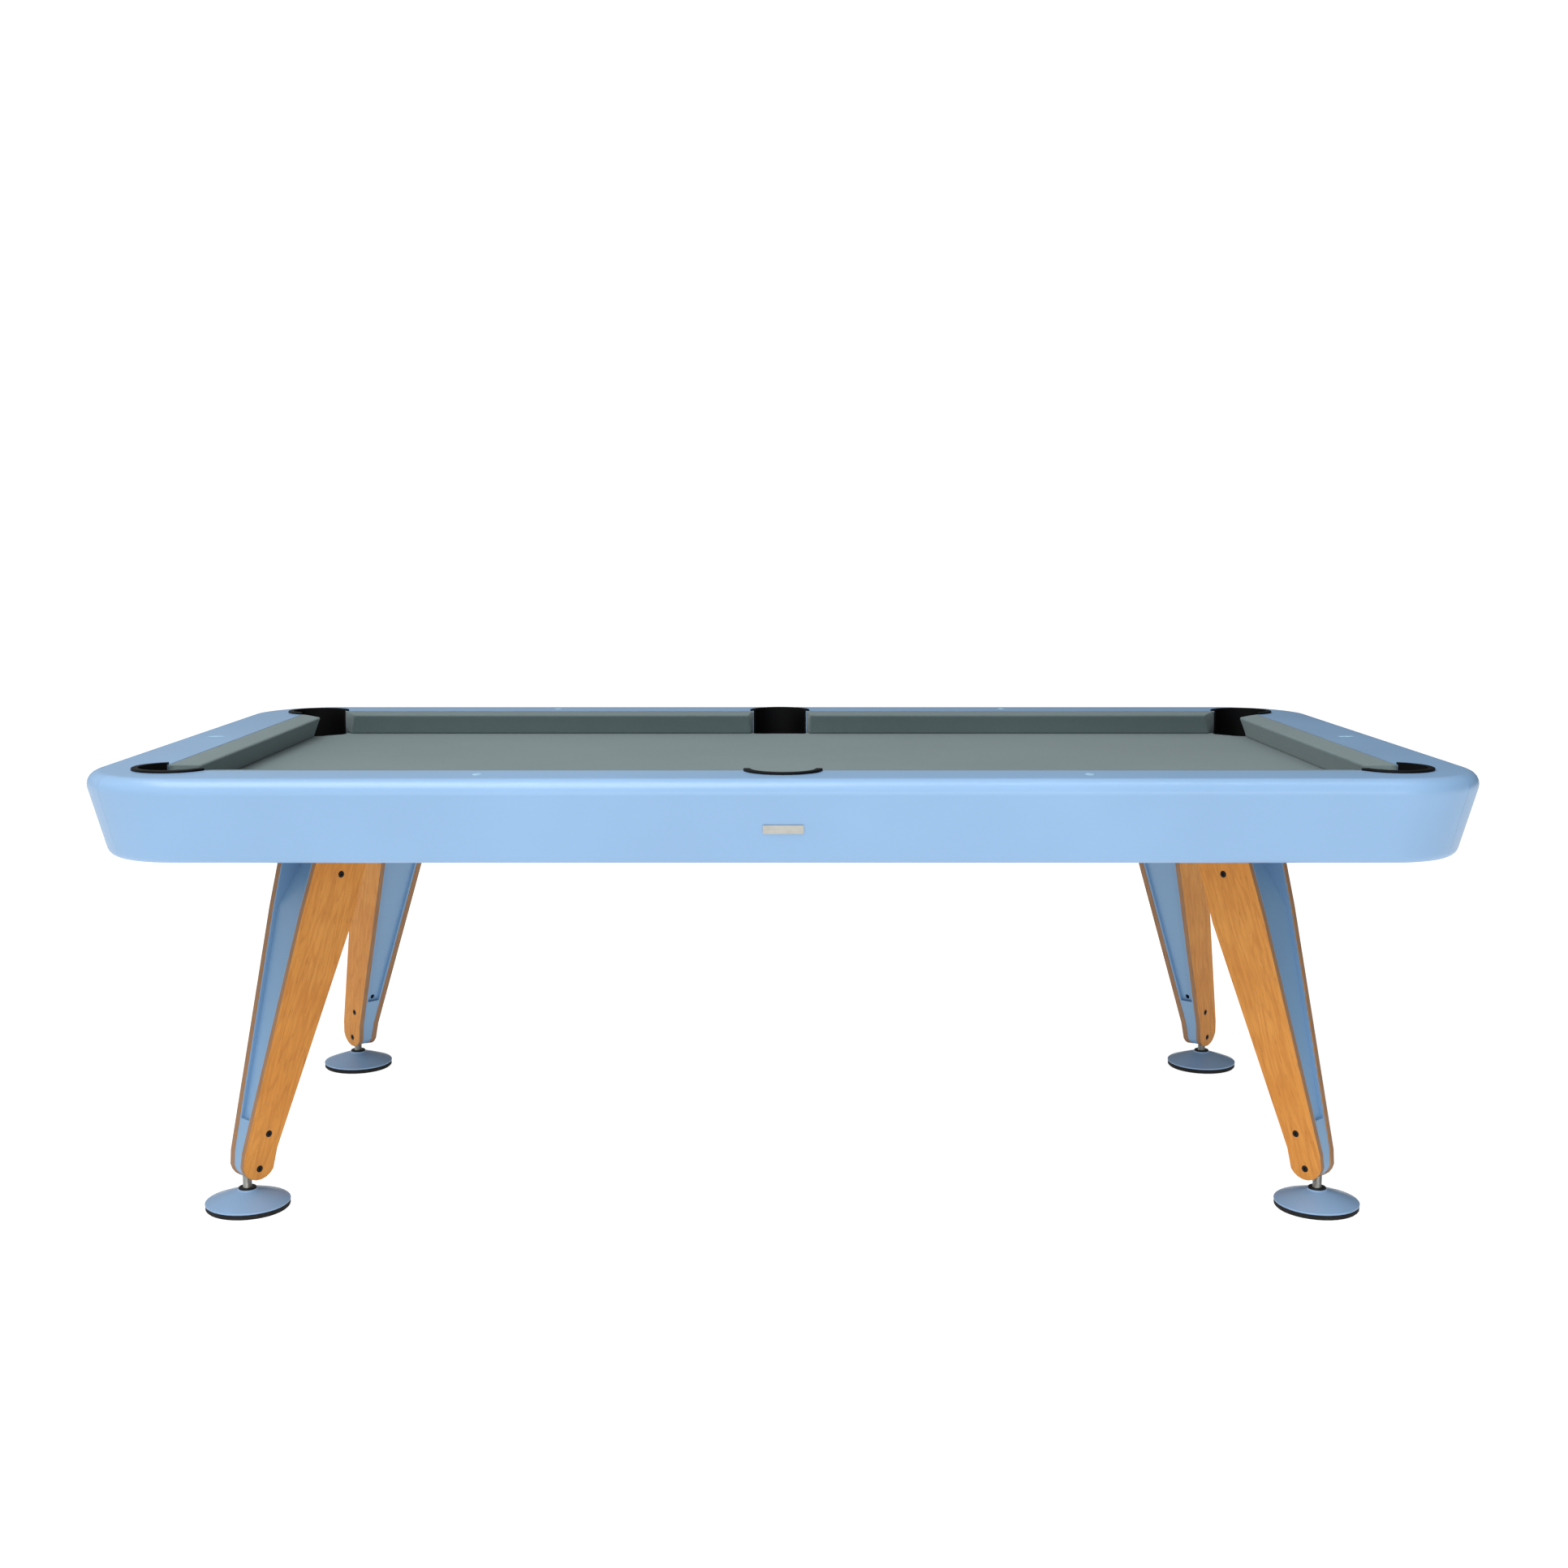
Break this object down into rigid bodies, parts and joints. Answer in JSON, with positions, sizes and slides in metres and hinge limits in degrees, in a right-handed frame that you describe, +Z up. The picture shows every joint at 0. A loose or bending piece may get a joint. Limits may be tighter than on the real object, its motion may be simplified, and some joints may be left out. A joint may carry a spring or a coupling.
{
  "type": "pool table",
  "caption": "Pool table with a cloth-covered bed, cushioned rails, drop pockets, a leaning painted apron and splayed wood-and-steel legs on levelling feet.",
  "frame": {"origin": "on the floor under the middle of the table", "axes": "+X along the table's long side, to the right seen from the front; +Y from the front long side to the back one; +Z up"},
  "size_m": [2.2892, 1.2986, 0.775],
  "materials": {
    "blue_body": "satin lacquer over board",
    "blue_leg": "satin powder coat",
    "blue_foot": "satin powder coat",
    "slate": "ground stone",
    "bed_cloth": "woven felt",
    "cushion_cloth": "woven felt over rubber",
    "black_plastic": "moulded",
    "frame_timber": "planed",
    "leg_wood": "oiled",
    "black_steel": "black oxide",
    "brushed_plate": "brushed",
    "black_rubber": "moulded",
    "zinc_steel": "zinc plated"
  },
  "bodies": {
    "table": {"rail_front": "blue_body", "rail_back": "blue_body", "rail_left": "blue_body", "rail_right": "blue_body", "slate_bed": "slate", "bed_cloth": "bed_cloth", "cushion_front_left": "cushion_cloth", "cushion_front_right": "cushion_cloth", "cushion_back_left": "cushion_cloth", "cushion_back_right": "cushion_cloth", "cushion_left_end": "cushion_cloth", "cushion_right_end": "cushion_cloth", "pocket_front_left": "black_plastic", "pocket_front_middle": "black_plastic", "pocket_front_right": "black_plastic", "pocket_back_left": "black_plastic", "pocket_back_middle": "black_plastic", "pocket_back_right": "black_plastic", "beam_cross_left": "frame_timber", "beam_cross_right": "frame_timber", "beam_long_front": "frame_timber", "beam_long_back": "frame_timber", "leg_core_front_left": "blue_leg", "leg_board_front_left_1": "leg_wood", "leg_board_front_left_2": "leg_wood", "leg_bolt_front_left_top": "black_steel", "leg_bolt_front_left_middle": "black_steel", "leg_bolt_front_left_low": "black_steel", "leg_core_front_right": "blue_leg", "leg_board_front_right_1": "leg_wood", "leg_board_front_right_2": "leg_wood", "leg_bolt_front_right_top": "black_steel", "leg_bolt_front_right_middle": "black_steel", "leg_bolt_front_right_low": "black_steel", "leg_core_back_left": "blue_leg", "leg_board_back_left_1": "leg_wood", "leg_board_back_left_2": "leg_wood", "leg_bolt_back_left_top": "black_steel", "leg_bolt_back_left_middle": "black_steel", "leg_bolt_back_left_low": "black_steel", "leg_core_back_right": "blue_leg", "leg_board_back_right_1": "leg_wood", "leg_board_back_right_2": "leg_wood", "leg_bolt_back_right_top": "black_steel", "leg_bolt_back_right_middle": "black_steel", "leg_bolt_back_right_low": "black_steel", "badge_plate": "brushed_plate"},
    "foot_front_left": {"foot_pad_front_left": "blue_foot", "foot_rubber_front_left": "black_rubber"},
    "foot_front_right": {"foot_pad_front_right": "blue_foot", "foot_rubber_front_right": "black_rubber"},
    "foot_back_left": {"foot_pad_back_left": "blue_foot", "foot_rubber_back_left": "black_rubber"},
    "foot_back_right": {"foot_pad_back_right": "blue_foot", "foot_rubber_back_right": "black_rubber"},
    "stem_front_left": {"foot_stem_front_left": "zinc_steel"},
    "stem_front_right": {"foot_stem_front_right": "zinc_steel"},
    "stem_back_left": {"foot_stem_back_left": "zinc_steel"},
    "stem_back_right": {"foot_stem_back_right": "zinc_steel"}
  },
  "joints": [
    {"name": "level_front_left", "type": "slide", "parent": "table", "child": "foot_front_left", "axis": [0, 0, -1], "range_m": [-0.006, 0.014]},
    {"name": "turn_front_left", "type": "hinge", "parent": "foot_front_left", "child": "stem_front_left", "pos_m": [-0.924, -0.44, 0.06], "axis": [0, 0, -1], "range_deg": [-1081, 2521]},
    {"name": "level_front_right", "type": "slide", "parent": "table", "child": "foot_front_right", "axis": [0, 0, -1], "range_m": [-0.006, 0.014]},
    {"name": "turn_front_right", "type": "hinge", "parent": "foot_front_right", "child": "stem_front_right", "pos_m": [0.924, -0.44, 0.06], "axis": [0, 0, -1], "range_deg": [-1081, 2521]},
    {"name": "level_back_left", "type": "slide", "parent": "table", "child": "foot_back_left", "axis": [0, 0, -1], "range_m": [-0.006, 0.014]},
    {"name": "turn_back_left", "type": "hinge", "parent": "foot_back_left", "child": "stem_back_left", "pos_m": [-0.924, 0.44, 0.06], "axis": [0, 0, -1], "range_deg": [-1081, 2521]},
    {"name": "level_back_right", "type": "slide", "parent": "table", "child": "foot_back_right", "axis": [0, 0, -1], "range_m": [-0.006, 0.014]},
    {"name": "turn_back_right", "type": "hinge", "parent": "foot_back_right", "child": "stem_back_right", "pos_m": [0.924, 0.44, 0.06], "axis": [0, 0, -1], "range_deg": [-1081, 2521]}
  ],
  "couplings": [
    {"joint": "turn_front_left", "follows": "level_front_left", "rad_per_m": 3141.6},
    {"joint": "turn_front_right", "follows": "level_front_right", "rad_per_m": 3141.6},
    {"joint": "turn_back_left", "follows": "level_back_left", "rad_per_m": 3141.6},
    {"joint": "turn_back_right", "follows": "level_back_right", "rad_per_m": 3141.6}
  ]
}
